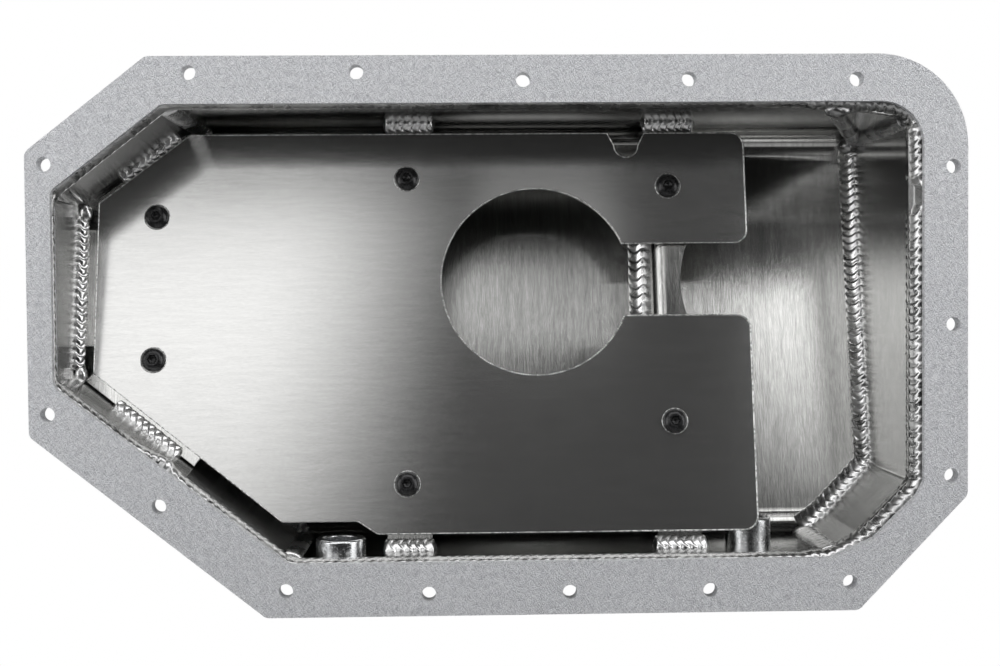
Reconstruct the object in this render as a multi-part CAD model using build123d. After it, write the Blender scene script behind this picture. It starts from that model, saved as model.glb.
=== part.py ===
from build123d import *
import os
from math import cos, hypot, radians, sin, sqrt, tan

# Engine oil pan of folded and welded aluminium sheet, in millimetres.
# The origin is the middle of the flange face that meets the engine block, +Z points up to the engine,
# +X runs along the pan and +Y is the side on which the floor lies deepest, called the rear here.

# Flange plate
flange_length = 455.0
flange_width = 271.0
flange_thickness = 8.0
rear_left_cut = (58.0, 45.5)
front_left_cut = (112.3, 89.2)
front_right_cut = (53.7, 56.0)
rear_right_radius = 44.5
rail_corner_radius = 5.0

# Opening in the flange, by the width of the rail on each side and the cuts of its corners
rail_left = 11.8
rail_right = 21.5
rail_rear = 22.9
rail_front = 26.0
opening_rear_left_cut = (53.4, 41.3)
opening_front_left_cut = (112.1, 87.2)
opening_front_right_steps = ((46.4, 0.0), (24.8, 9.4), (3.4, 30.4), (0.0, 37.0))
opening_rear_right_radius = 21.0
opening_corner_radius = 6.0

# Bolt holes through the flange, by their distances from its edges
bolt_hole_diameter = 7.0
rear_pitch = 80.2
rear_left_edge = (78.4, 8.0)
rear_middle_edge = 12.0
rear_right_edge = (54.5, 12.3)
right_edge = 7.1
right_rows = (54.6, 131.5)
right_front_edge = (8.1, 65.6)
front_right_edge = (58.0, 13.9)
front_pitch = 68.6
front_row_edge = (126.6, 10.8)
front_left_edge = (122.0, 13.0)
front_left_cut_edge = (61.5, 54.8)
left_edge = 9.0
left_rows = (51.3, 99.7)

# Sheet metal
sheet = 3.0
long_bend_radius = 14.0
strip_bend_radius = 3.0
floor_tilt = 10.0
floor_depth = 91.5

# Inner faces of the walls, by how far each lies inside the edge of the flange opening
wall_inset_front = 1.5
wall_inset_right = 5.2
wall_inset_rear = 1.5
wall_inset_rear_left = 2.5
wall_inset_left = -1.0
wall_inset_front_left = 1.5

# Facets of the right end wall, from the end of its long face
right_fold_from_front = 35.0
right_facet_length = 36.1
right_facet_turn = 45.0
last_facet_turn = 55.0

# Triangular panel in the rear right corner
corner_panel_length = 34.8
corner_panel_inset = 5.6

# Windage tray, parallel to the floor
tray_depth = 43.0
tray_thickness = 3.0
tray_gap_rear = 6.1
tray_gap_front = 8.3
tray_gap_left = 9.7
tray_gap_rear_left = 4.4
tray_gap_front_left = 7.1
tray_gap_right = 70.8
tray_step = 6.4
tray_step_from_bung = (8.5, 18.4)
tray_corner_radius = 7.0
pickup_hole_radius = 49.2
pickup_hole_from_right = 110.7
pickup_hole_from_middle = 25.7
slot_reach = (18.3, 19.3)
notch_from_right = 62.2
notch_radius = 6.3
notch_depth = 13.1
notch_flare = 5.0

# Supports under the tray
bracket_width = 22.5
left_bracket_from_bung = 34.6
right_bracket_from_tray_edge = 39.5
rear_left_bracket_length = 40.1
front_left_bracket_length = 43.0
rear_right_bracket_length = 44.6
front_right_bracket_length = 73.0
bracket_corner_radius = 3.0
ledge_gap = 1.5
left_ledge_width = 19.0
left_ledge_shares = (0.18, 0.87)
left_ledge_cut = (7.5, 6.0)
ledge_skew = 5.0
upper_ledge_span = (6.0, 65.0)
upper_ledge_width = 36.0
lower_ledge_span = (5.0, 76.0)
lower_ledge_width = 38.0

# Baffle across the pan
baffle_from_bracket = 10.0
baffle_flange_width = 21.0
baffle_flange_gap = 3.5
baffle_flange_radius = 6.0
baffle_bend_radius = 5.0
scallop_radius = 54.0
scallop_depth = 6.6

# Tray screws
upper_ledge_screw = (28.1, 28.6)
lower_ledge_screw = (26.5, 30.6)
screw_from_bracket = 1.2
rear_left_screw_inset = 29.9
front_left_screw_inset = 32.8
rear_right_screw_inset = 34.4
front_right_screw_inset = 62.9
screw_diameter = 6.0
screw_length = 14.0
screw_head_diameter = 12.0
screw_head_height = 3.4
screw_rim_height = 0.9
socket_width = 4.6
socket_depth = 2.2
tray_hole_diameter = 6.6
nut_width = 10.0
nut_height = 5.0
nut_clearance = 0.1

# Bungs in the front wall
return_bung_from_joint = 22.1
return_bung_depth = 25.0
return_bung_diameter = 25.0
return_bung_bore = 17.5
return_bung_inside = 7.0
return_bung_outside = 9.0
sensor_bung_from_right = 72.8
sensor_bung_depth = 42.0
sensor_bung_diameter = 23.2
sensor_bung_bore = 14.0
sensor_bung_inside = 12.5
sensor_bung_outside = 6.0
bung_chamfer = 0.8
bung_fit = 0.05

# Drain in the floor
drain_from_left = 131.7
drain_from_rear = 39.1
drain_bung_diameter = 26.0
drain_bung_outside = 8.0
drain_bore = 14.0
drain_washer_diameter = 21.0
drain_washer_thickness = 1.5
drain_washer_bore = 14.6
plug_hex_width = 17.0
plug_hex_height = 7.0
plug_crown = 0.94
plug_flange_diameter = 20.0
plug_flange_height = 2.0
plug_shank_length = 11.0
plug_clearance = 0.1

# Weld beads, by the length of their legs
flange_weld_width = 2.5
flange_weld_top = 3.4
flange_weld_skirt = 3.0
flange_weld_chamfer = 1.8
outer_weld_leg = 4.0
outer_weld_taper = 35.0
end_weld_leg = 7.5
left_weld_leg = 4.0
corner_weld_leg = 5.0
baffle_weld_leg = 7.0
support_weld_leg = 4.8
rear_left_weld_leg = 4.1
upper_weld_span = (27.0, 62.0)
lower_weld_span = (24.0, 68.0)
seam_width = 4.0
seam_height = 1.0
bung_weld_leg = 3.5
weld_tail = 2.0

tray_plane = Plane(
    origin=(0, 0, -tray_depth), x_dir=(1, 0, 0), z_dir=(0, sin(radians(floor_tilt)), cos(radians(floor_tilt)))
)
floor_plane = Plane(origin=(0, 0, -floor_depth), x_dir=(1, 0, 0), z_dir=tray_plane.z_dir)
slope = tan(radians(floor_tilt))
stretch = 1 / cos(radians(floor_tilt))
far = 3 * flange_length


def moved_line(start, end, inset):
    """The line from start to end, moved to its left side by the inset."""
    length = hypot(end[0] - start[0], end[1] - start[1])
    across = (-(end[1] - start[1]) / length * inset, (end[0] - start[0]) / length * inset)
    return tuple((p[0] + across[0], p[1] + across[1]) for p in (start, end))


def crossing(first, second):
    """Where two endless lines meet in plan."""
    (x1, y1), (x2, y2) = first
    (x3, y3), (x4, y4) = second
    cross = (x2 - x1) * (y4 - y3) - (y2 - y1) * (x4 - x3)
    share = ((x3 - x1) * (y4 - y3) - (y3 - y1) * (x4 - x3)) / cross
    return (x1 + share * (x2 - x1), y1 + share * (y2 - y1))


def along(line, distance, inset=0.0):
    """A point at a distance from the start of a line, moved to the line's left by the inset."""
    (x1, y1), (x2, y2) = moved_line(*line, inset)
    length = hypot(x2 - x1, y2 - y1)
    return (x1 + (x2 - x1) * distance / length, y1 + (y2 - y1) * distance / length)


# Edges of the flange and of its opening
left_x = -flange_length / 2
right_x = flange_length / 2
rear_y = flange_width / 2
front_y = -flange_width / 2
open_left = left_x + rail_left
open_right = right_x - rail_right
open_rear = rear_y - rail_rear
open_front = front_y + rail_front

# The opening's six main corners, counter-clockwise from the front left, without the steps at the front right
opening_corners = (
    (open_left + opening_front_left_cut[0], open_front),
    (open_right, open_front),
    (open_right, open_rear),
    (open_left + opening_rear_left_cut[0], open_rear),
    (open_left, open_rear - opening_rear_left_cut[1]),
    (open_left, open_front + opening_front_left_cut[1]),
)

# The walls' inner faces as endless lines in plan, each with the pan's inside on its left
sides = tuple(zip(opening_corners, opening_corners[1:] + opening_corners[:1]))
front_line = moved_line(*sides[0], wall_inset_front)
right_line = moved_line(*sides[1], wall_inset_right)
rear_line = moved_line(*sides[2], wall_inset_rear)
rear_left_line = moved_line(*sides[3], wall_inset_rear_left)
left_line = moved_line(*sides[4], wall_inset_left)
front_left_line = moved_line(*sides[5], wall_inset_front_left)
wall_front = front_line[0][1]
wall_right = right_line[0][0]
wall_rear = rear_line[0][1]
wall_left = left_line[0][0]

# Folds and ends of the two end walls
left_upper_fold = crossing(rear_left_line, left_line)
left_lower_fold = crossing(left_line, front_left_line)
rear_left_joint = crossing(rear_line, rear_left_line)
front_left_joint = crossing(front_left_line, front_line)
first_fold = (wall_right, wall_front + right_fold_from_front)
second_fold = (
    first_fold[0] - right_facet_length * sin(radians(right_facet_turn)),
    first_fold[1] - right_facet_length * cos(radians(right_facet_turn)),
)
facet_line = (first_fold, second_fold)
last_line = (
    second_fold,
    (second_fold[0] - sin(radians(last_facet_turn)), second_fold[1] - cos(radians(last_facet_turn))),
)
front_right_joint = crossing(last_line, front_line)
panel_start = (wall_right - corner_panel_length, wall_rear)
panel_end = (wall_right, wall_rear - corner_panel_inset)

# Runs along the two diagonal walls, each from its fold beside the left end face
upper_run = (left_upper_fold, rear_left_joint)
lower_run = (left_lower_fold, front_left_joint)

# Places of the tray's features, the brackets and the baffle
tray_right = wall_right - tray_gap_right
pickup_hole_y = (wall_rear + wall_front) / 2 + pickup_hole_from_middle
pickup_hole_centre = (tray_right - pickup_hole_from_right, pickup_hole_y)
slot_front = pickup_hole_y - slot_reach[0]
slot_rear = pickup_hole_y + slot_reach[1]
notch_centre = tray_right - notch_from_right
right_bracket_x = tray_right - right_bracket_from_tray_edge
baffle_x = right_bracket_x - baffle_from_bracket
baffle_flange_span = (
    wall_front + front_right_bracket_length + baffle_flange_gap,
    wall_rear - rear_right_bracket_length - baffle_flange_gap,
)
left_face_length = left_upper_fold[1] - left_lower_fold[1]
left_ledge_span = tuple(left_lower_fold[1] + share * left_face_length for share in left_ledge_shares)
return_bung_x = front_left_joint[0] + return_bung_from_joint
left_bracket_x = return_bung_x + left_bracket_from_bung
sensor_bung_x = wall_right - sensor_bung_from_right
drain_place = (wall_left + drain_from_left, wall_rear - drain_from_rear)


screw_places = (
    along(upper_run, upper_ledge_screw[0], -upper_ledge_screw[1]),
    (left_bracket_x - screw_from_bracket, wall_rear - rear_left_screw_inset),
    (right_bracket_x - screw_from_bracket, wall_rear - rear_right_screw_inset),
    along(lower_run, *lower_ledge_screw),
    (left_bracket_x - screw_from_bracket, wall_front + front_left_screw_inset),
    (right_bracket_x - screw_from_bracket, wall_front + front_right_screw_inset),
)


def inner_height(y):
    """Height of the shell's inner face above a place on the floor or in one of the two long bends."""
    for wall, side in ((wall_rear, 1), (wall_front, -1)):
        centre = wall - side * long_bend_radius
        centre_height = -floor_depth - slope * centre + long_bend_radius * stretch
        tangent = centre - long_bend_radius * sin(radians(floor_tilt))
        if side * (y - tangent) > 0:
            reach = min(abs(y - centre), long_bend_radius)
            return centre_height - sqrt(long_bend_radius**2 - reach**2)
    return -floor_depth - slope * y


def bend_tangent(wall, side):
    """Where a long bend runs into the flat floor."""
    return wall - side * long_bend_radius - long_bend_radius * sin(radians(floor_tilt))


def polygon(points):
    return make_face(Polyline(*points, close=True))


def flange_outline():
    points = (
        (left_x + front_left_cut[0], front_y),
        (right_x - front_right_cut[0], front_y),
        (right_x, front_y + front_right_cut[1]),
        (right_x, rear_y),
        (left_x + rear_left_cut[0], rear_y),
        (left_x, rear_y - rear_left_cut[1]),
        (left_x, front_y + front_left_cut[1]),
    )
    outline = polygon(points)
    corner = outline.vertices().sort_by_distance((right_x, rear_y))[0]
    outline = fillet(corner, rear_right_radius)
    small = [v for v in outline.vertices() if min(hypot(v.X - p[0], v.Y - p[1]) for p in points) < 0.01]
    return fillet(small, rail_corner_radius)


def opening_outline():
    steps = [(open_right - dx, open_front + dy) for dx, dy in opening_front_right_steps]
    points = [opening_corners[0], *steps, *opening_corners[2:]]
    outline = polygon(points)
    corner = outline.vertices().sort_by_distance(opening_corners[2])[0]
    outline = fillet(corner, opening_rear_right_radius)
    left = [v for v in outline.vertices() if v.X < opening_corners[0][0] + 1]
    return fillet(left, opening_corner_radius)


def bolt_places():
    places = [(left_x + rear_left_edge[0] + i * rear_pitch, rear_y - rear_left_edge[1]) for i in range(2)]
    places += [(left_x + rear_left_edge[0] + i * rear_pitch, rear_y - rear_middle_edge) for i in (2, 3)]
    places += [(right_x - rear_right_edge[0], rear_y - rear_right_edge[1])]
    places += [(right_x - right_edge, rear_y - row) for row in right_rows]
    places += [(right_x - right_front_edge[0], front_y + right_front_edge[1])]
    places += [(right_x - front_right_edge[0], front_y + front_right_edge[1])]
    places += [(right_x - front_row_edge[0] - i * front_pitch, front_y + front_row_edge[1]) for i in range(3)]
    places += [(left_x + front_left_edge[0], front_y + front_left_edge[1])]
    places += [(left_x + front_left_cut_edge[0], front_y + front_left_cut_edge[1])]
    places += [(left_x + left_edge, rear_y - left_rows[0]), (left_x + left_edge, front_y + left_rows[1])]
    return places


def make_flange():
    plate = flange_outline() - opening_outline()
    plate -= Locations(*bolt_places()) * Circle(bolt_hole_diameter / 2)
    return extrude(plate, -flange_thickness)


def pan_section(extra, top):
    """Cross-section of the pan's two long walls and floor, with the extra added all round."""
    front, rear = wall_front - extra, wall_rear + extra
    depth = floor_depth + extra * stretch
    points = ((front, top), (front, -depth - slope * front), (rear, -depth - slope * rear), (rear, top))
    section = polygon(points)
    low = section.vertices().sort_by(Axis.Y)[:2]
    return extrude(Plane.YZ * fillet(low, long_bend_radius + extra), far, both=True)


def end_outline():
    """Plan of the space between the two end walls, open-ended past the long walls."""
    rear, front = wall_rear + 10 * sheet, wall_front - 10 * sheet
    beyond_rear = ((0, rear), (1, rear))
    beyond_front = ((0, front), (1, front))
    points = (
        crossing(rear_left_line, beyond_rear),
        left_upper_fold,
        left_lower_fold,
        crossing(front_left_line, beyond_front),
        crossing(last_line, beyond_front),
        second_fold,
        first_fold,
        (wall_right, rear),
    )
    outline = polygon(points)
    folds = [v for v in outline.vertices() if front + 1 < v.Y < rear - 1]
    return fillet(folds, strip_bend_radius)


def between_ends(extra=0.0):
    outline = end_outline()
    if extra:
        outline = offset(outline, extra)
    return extrude(outline, -far)


def cavity(top=-flange_thickness):
    """The space inside the walls and over the floor."""
    return pan_section(0, top) & between_ends()


def make_shell():
    folded = pan_section(sheet, -flange_thickness) - pan_section(0, 1)
    shell = folded & between_ends()
    shell -= [bung_hole(*bung) for bung in (return_bung_place(), sensor_bung_place())]
    drain = Cylinder(drain_bung_diameter / 2 + bung_fit, far / 4)
    return shell - drain_location() * drain


def make_end_walls():
    strips = (between_ends(sheet) - between_ends()) & pan_section(sheet, -flange_thickness)
    left, right = strips.solids().sort_by(Axis.X)
    return left, right


def make_corner_panel():
    """Upright triangular plate, cut along the slanting seam on the rear wall."""
    plate = polygon((panel_start, panel_end, *reversed(moved_line(panel_start, panel_end, sheet))))
    low = inner_height(panel_end[1])
    corners = (
        (panel_start[0], 0), (panel_end[0] + sheet, 0),
        (panel_end[0], low), (panel_start[0], -flange_thickness),
    )
    seam = extrude(Plane.XZ * polygon(corners), far, both=True)
    return extrude(plate, -far) & seam & cavity()


def on_tray(x, y):
    """A place in plan, in the sloping plane of the tray."""
    return (x, y * stretch)


def tray_lines():
    rear = moved_line(*rear_line, tray_gap_rear)
    rear_left = moved_line(*rear_left_line, tray_gap_rear_left)
    left = moved_line(*left_line, tray_gap_left)
    front_left = moved_line(*front_left_line, tray_gap_front_left)
    front = moved_line(*front_line, tray_gap_front)
    return rear, rear_left, left, front_left, front


def tray_outline():
    rear, rear_left, left, front_left, front = tray_lines()
    step = moved_line(*front, tray_step)
    step_start, step_end = (return_bung_x + reach for reach in tray_step_from_bung)
    points = (
        (tray_right, front[0][1]),
        (tray_right, rear[0][1]),
        crossing(rear, rear_left),
        crossing(rear_left, left),
        crossing(left, front_left),
        crossing(front_left, step),
        (step_start, step[0][1]),
        (step_end, front[0][1]),
    )
    outline = polygon([on_tray(*p) for p in points])
    right_corners = [v for v in outline.vertices() if v.X > tray_right - 1]
    outline = fillet(right_corners, tray_corner_radius)
    step_corners = [v for v in outline.vertices() if step_start - 1 < v.X < step_end + 1 and v.Y < 0]
    return fillet(step_corners, tray_step / 2)


def slot_outline():
    """Straight slot from the pickup hole to the tray's right edge, flared by rounds at its mouth."""
    low, high = on_tray(0, slot_front)[1], on_tray(0, slot_rear)[1]
    start, end = pickup_hole_centre[0], tray_right + tray_thickness
    slot = Pos((start + end) / 2, (low + high) / 2) * Rectangle(end - start, high - low)
    for y, side in ((low, -1), (high, 1)):
        corner = (tray_right - tray_corner_radius, y + side * tray_corner_radius)
        square = Pos(corner[0] + end / 2 - corner[0] / 2, y + side * tray_corner_radius / 2)
        block = square * Rectangle(end - corner[0], tray_corner_radius)
        slot += block - Pos(*corner) * Circle(tray_corner_radius)
    return slot


def notch_outline():
    """Round-ended notch for the dipstick, with a flared mouth."""
    edge = on_tray(0, wall_rear - tray_gap_rear)[1]
    centre = edge - notch_depth + notch_radius
    flare = notch_radius + notch_flare
    mouth = polygon(
        (
            (notch_centre - notch_radius, centre),
            (notch_centre + notch_radius, centre),
            (notch_centre + flare, edge + sheet),
            (notch_centre - flare, edge + sheet),
        )
    )
    return Pos(notch_centre, centre) * Circle(notch_radius) + mouth


def screw_locations():
    return Locations(*[on_tray(*place) for place in screw_places])


def make_tray():
    plate = tray_outline() - Pos(*on_tray(*pickup_hole_centre)) * Circle(pickup_hole_radius)
    plate -= [slot_outline(), notch_outline()]
    plate -= screw_locations() * Circle(tray_hole_diameter / 2)
    return tray_plane * extrude(plate, -tray_thickness)


def support_plate(outline):
    """Flat plate right under the tray, with clearance holes for the tray screws that cross it."""
    outline -= screw_locations() * Circle(tray_hole_diameter / 2)
    return tray_plane * Pos(0, 0, -tray_thickness) * extrude(outline, -sheet)


def make_bracket(middle, wall, side, length):
    """Strip that stands out from a long wall. The side is +1 at the rear wall and -1 at the front wall."""
    low, high = middle - bracket_width / 2, middle + bracket_width / 2
    tip, root = wall - side * length, wall + side * sheet
    points = [on_tray(x, y) for x, y in ((low, tip), (high, tip), (high, root), (low, root))]
    strip = polygon(points)
    tips = strip.vertices().sort_by_distance(on_tray(middle, tip))[:2]
    return support_plate(fillet(tips, bracket_corner_radius)) & cavity()


def make_left_ledge():
    low, high = left_ledge_span
    cut_x, cut_y = left_ledge_cut
    right = wall_left + left_ledge_width
    points = (
        (wall_left, low), (right - cut_x, low), (right, low + cut_y),
        (right, high - cut_y), (right - cut_x, high), (wall_left, high),
    )
    return support_plate(polygon([on_tray(*p) for p in points])) & cavity()


def make_diagonal_ledge(line, span, side, width):
    """Plate along a diagonal wall, with a narrow gap to the wall. The side is +1 on the line's left."""
    width = side * width
    corners = (
        along(line, span[0], side * ledge_gap), along(line, span[1], side * ledge_gap),
        along(line, span[1], width), along(line, span[0] + ledge_skew, width),
    )
    return support_plate(polygon([on_tray(*p) for p in corners])) & cavity()


def make_baffle():
    """Folded sheet that stands on the floor, its top folded over in the middle to carry the tray."""
    top = -tray_thickness
    bend_top = top - sheet
    foot = -(floor_depth - tray_depth) / stretch
    right = baffle_x + baffle_flange_width
    low, high = (y * stretch for y in baffle_flange_span)
    points = (
        (baffle_x, foot), (baffle_x + sheet, foot), (baffle_x + sheet, bend_top),
        (right, bend_top), (right, top), (baffle_x, top),
    )
    section = polygon(points)
    inner = section.vertices().sort_by_distance((baffle_x + sheet, bend_top))[0]
    section = fillet(inner, baffle_bend_radius)
    outer = section.vertices().sort_by_distance((baffle_x, top))[0]
    section = fillet(outer, baffle_bend_radius + sheet)
    plain = polygon(
        ((baffle_x, foot), (baffle_x + sheet, foot), (baffle_x + sheet, bend_top), (baffle_x, bend_top))
    )
    middle = polygon(((baffle_x, low), (right, low), (right, high), (baffle_x, high)))
    middle = fillet([v for v in middle.vertices() if v.X > baffle_x + 1], baffle_flange_radius)
    scallop_y = on_tray(*pickup_hole_centre)[1]
    middle -= Pos(right - scallop_depth + scallop_radius, scallop_y) * Circle(scallop_radius)
    ends = Pos(baffle_x, (low + high) / 2) * Rectangle(far, high - low)
    folded = extrude(Plane.XZ * section, far, both=True) & extrude(middle, far / 4, both=True)
    web = extrude(Plane.XZ * plain, far, both=True) - extrude(ends, far / 4, both=True)
    return tray_plane * (folded + web) & cavity()


def make_screws():
    """Button heads with a hex socket, in the tray's holes."""
    radius, height, rim = screw_head_diameter / 2, screw_head_height, screw_rim_height
    dome = ((radius, rim), (radius * 0.87, height * 0.62), (radius * 0.55, height))
    head = revolve(Plane.XZ * polygon(((0, 0), (radius, 0), *dome, (0, height))), Axis.Z)
    socket = extrude(RegularPolygon(socket_width / 2, 6, major_radius=False), socket_depth)
    head -= Pos(0, 0, height - socket_depth) * socket
    shank = extrude(Circle(screw_diameter / 2), -screw_length)
    screw = head + shank
    return Compound(children=[tray_plane * place * screw for place in screw_locations()])


def make_nuts():
    """Hex nuts under the brackets and ledges."""
    bore = Circle(screw_diameter / 2 + nut_clearance)
    nut = extrude(RegularPolygon(nut_width / 2, 6, major_radius=False, rotation=30) - bore, -nut_height)
    under = Pos(0, 0, -tray_thickness - sheet)
    return Compound(children=[tray_plane * place * under * nut for place in screw_locations()])


def return_bung_place():
    return return_bung_x, return_bung_depth, return_bung_diameter


def sensor_bung_place():
    return sensor_bung_x, sensor_bung_depth, sensor_bung_diameter


def bung_hole(x, depth, diameter):
    """Hole for a bung through the front wall."""
    hole = Cylinder(diameter / 2 + bung_fit, 8 * sheet, rotation=(90, 0, 0))
    return Pos(x, wall_front, -depth) * hole


def make_bung(x, depth, diameter, bore, inside, outside):
    """Turned ring whose axis lies along Y, through the front wall."""
    length = inside + sheet + outside
    ring = extrude(Circle(diameter / 2) - Circle(bore / 2), length)
    ring = chamfer(ring.edges().filter_by(GeomType.CIRCLE), bung_chamfer)
    plane = Plane(origin=(x, wall_front + inside, -depth), x_dir=(1, 0, 0), z_dir=(0, -1, 0))
    return plane * ring


def drain_location():
    return floor_plane.location * Pos(*on_tray(*drain_place))


def make_drain_bung():
    """Ring let into the floor, flush inside and standing proud underneath."""
    length = sheet + drain_bung_outside
    ring = extrude(Circle(drain_bung_diameter / 2) - Circle(drain_bore / 2), -length)
    ring = chamfer(ring.faces().sort_by(Axis.Z)[0].edges(), bung_chamfer)
    return drain_location() * ring


def drain_seat():
    return Pos(0, 0, -sheet - drain_bung_outside)


def make_drain_washer():
    ring = Circle(drain_washer_diameter / 2) - Circle(drain_washer_bore / 2)
    return drain_location() * drain_seat() * extrude(ring, -drain_washer_thickness)


def make_drain_plug():
    """Hex plug with a round flange that presses the washer against the bung."""
    flange = extrude(Circle(plug_flange_diameter / 2), -plug_flange_height)
    head = Pos(0, 0, -plug_flange_height) * extrude(
        RegularPolygon(plug_hex_width / 2, 6, major_radius=False), -plug_hex_height
    )
    low = (Align.CENTER, Align.CENTER, Align.MIN)
    dome = Cone(plug_hex_width, plug_hex_width / 2 * plug_crown, plug_hex_width, align=low)
    head &= Pos(0, 0, -plug_flange_height - plug_hex_height) * dome
    shank = extrude(Circle(drain_bore / 2 - plug_clearance), plug_shank_length + drain_washer_thickness)
    shank = chamfer(shank.faces().sort_by(Axis.Z)[-1].edges(), bung_chamfer)
    plug = flange + head + shank
    return drain_location() * drain_seat() * Pos(0, 0, -drain_washer_thickness) * plug


def bar(points, radius):
    """Round bars along straight runs and a ball at each corner, as a list."""
    pieces = []
    for start, end in zip(points, points[1:]):
        run = Vector(*end) - Vector(*start)
        pieces.append(Solid.make_cylinder(radius, run.length, Plane(origin=start, z_dir=run)))
    return pieces + [Pos(*corner) * Sphere(radius) for corner in points[1:-1]]


def bead_inside(pieces, room, others=()):
    """What of some bars lies in a room and clear of the other pieces, as one bead."""
    kept = [piece & room for piece in pieces]
    kept = [piece for piece in kept if piece is not None]
    bead = kept[0]
    for piece in kept[1:]:
        bead += piece
    for other in others:
        bead -= other
    return bead


def weld_corners():
    """Plan of the walls' inner faces at the top, with the corner panel's face among them."""
    return (
        front_left_joint, front_right_joint, second_fold, first_fold,
        panel_end, panel_start, rear_left_joint, left_upper_fold, left_lower_fold,
    )


def make_flange_weld(walls):
    """Continuous bead between the opening's edge and the tops of the walls."""
    wall_outline = polygon(weld_corners())
    opening = opening_outline()
    inner = offset(wall_outline, -flange_weld_width / 2.5, kind=Kind.INTERSECTION)
    inner &= offset(opening, -flange_weld_width)
    upper = extrude(opening, -flange_thickness) - extrude(opening, -flange_weld_top)
    upper -= extrude(inner, -flange_thickness)
    flare = Pos(0, 0, -flange_weld_top - flange_weld_chamfer) * inner
    upper -= extrude(flare, flange_weld_chamfer, taper=-45)
    lower = extrude(wall_outline - inner, -flange_thickness - flange_weld_skirt)
    lower = lower & Pos(0, 0, -flange_thickness) * extrude(opening, -flange_weld_skirt)
    bead = upper + lower
    for wall in walls:
        bead -= wall
    return bead


def make_outer_flange_weld(walls):
    """Continuous bead under the flange, round the outside of the walls."""
    outline = polygon((*weld_corners()[:4], (wall_right, wall_rear), *weld_corners()[6:]))
    body = extrude(offset(outline, sheet, kind=Kind.INTERSECTION), -far)
    foot = offset(outline, sheet + outer_weld_leg, kind=Kind.INTERSECTION)
    skirt = extrude(foot, -outer_weld_leg, taper=outer_weld_taper)
    bead = Pos(0, 0, -flange_thickness) * skirt
    for wall in (body, *walls):
        bead -= wall
    return bead


def floor_point(place):
    return (place[0], place[1], inner_height(place[1]))


def at_height(place, z):
    return (place[0], place[1], z)


def line_at(line, y):
    return crossing(line, ((0, y), (1, y)))


def make_right_end_weld(others):
    """Heavy bead round the foot of the right end wall and up its front joint."""
    front_tangent = bend_tangent(wall_front, -1)
    path = [
        floor_point((wall_right, panel_end[1])),
        floor_point((wall_right, bend_tangent(wall_rear, 1))),
        floor_point(first_fold),
        floor_point(line_at(facet_line, front_tangent)),
        floor_point(second_fold),
        floor_point(front_right_joint),
    ]
    bars = bar(path, end_weld_leg)
    bottom = inner_height(wall_front)
    top = -flange_thickness - flange_weld_skirt
    bars += bar([at_height(front_right_joint, bottom), at_height(front_right_joint, top)], corner_weld_leg)
    return bead_inside(bars, weld_room(), others)


def make_corner_weld(others):
    """Beads down both seams of the corner panel."""
    low = inner_height(panel_end[1]) + end_weld_leg
    top = -flange_thickness - flange_weld_skirt
    upright = bar([at_height(panel_end, top), at_height(panel_end, low)], corner_weld_leg)
    slanting = bar([at_height(panel_start, top), at_height(panel_end, low)], corner_weld_leg)
    return bead_inside(upright + slanting, weld_room(), others)


def make_left_end_weld(others):
    """Bead round the foot of the left end wall and up both of its joints."""
    rear_tangent = bend_tangent(wall_rear, 1)
    front_tangent = bend_tangent(wall_front, -1)
    middle = (wall_front + front_tangent) / 2
    top = -flange_thickness - flange_weld_skirt
    path = [
        at_height(front_left_joint, top),
        floor_point(front_left_joint),
        floor_point(line_at(front_left_line, middle)),
        floor_point(line_at(front_left_line, front_tangent)),
        floor_point(left_lower_fold),
        floor_point(left_upper_fold),
        floor_point(line_at(rear_left_line, rear_tangent)),
        floor_point(line_at(rear_left_line, (wall_rear + rear_tangent) / 2)),
        floor_point(rear_left_joint),
        at_height(rear_left_joint, top),
    ]
    return bead_inside(bar(path, left_weld_leg), weld_room(), others)


def make_baffle_weld(others):
    """Bead along the foot of the baffle, on its left side."""
    path = [
        floor_point((baffle_x, bend_tangent(wall_front, -1))),
        floor_point((baffle_x, bend_tangent(wall_rear, 1))),
    ]
    left_side = weld_room() & Pos(baffle_x - far / 2, 0, 0) * Box(far, far, far)
    return bead_inside(bar(path, baffle_weld_leg), left_side, others)


def above_supports():
    """Everything over the top plane of the tray's supports."""
    return tray_plane * Pos(0, 0, far / 2 - tray_thickness) * Box(far, far, far)


def support_height(place):
    return -tray_depth - tray_thickness * stretch - slope * place[1]


def support_bead(first, last, leg):
    path = [at_height(place, support_height(place)) for place in (first, last)]
    return bar(path, leg)


def make_support_welds(others):
    """Beads that hold the ledges and the brackets to the walls."""
    half = bracket_width / 2 + weld_tail
    low, high = left_ledge_span
    runs = [
        ((x - half, wall), (x + half, wall), support_weld_leg)
        for x in (left_bracket_x, right_bracket_x) for wall in (wall_rear, wall_front)
    ]
    runs += [
        ((wall_left, low), (wall_left, high), support_weld_leg),
        (along(upper_run, upper_weld_span[0]), along(upper_run, upper_weld_span[1]), rear_left_weld_leg),
        (along(lower_run, lower_weld_span[0]), along(lower_run, lower_weld_span[1]), support_weld_leg),
    ]
    room = weld_room() & above_supports()
    beads = [bead_inside(support_bead(first, last, leg), room, others) for first, last, leg in runs]
    return Compound(children=[solid for bead in beads for solid in bead.solids()])


def weld_room():
    """The space inside the pan under the flange weld."""
    return cavity(-flange_thickness - flange_weld_skirt)


def make_seam_welds():
    """Low beads on the outside, over the joints between the end walls and the shell."""
    band = between_ends(seam_width / 2) - between_ends(-seam_width / 2)
    top = -flange_thickness - outer_weld_leg
    beads = band & (pan_section(sheet + seam_height, top) - pan_section(sheet, 1))
    return Compound(children=beads.solids())


def ring_weld(radius, leg, location):
    """Fillet round a bung."""
    ring = revolve(Plane.XZ * polygon(((radius, 0), (radius + leg, 0), (radius, leg))), Axis.Z)
    return location * ring


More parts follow.
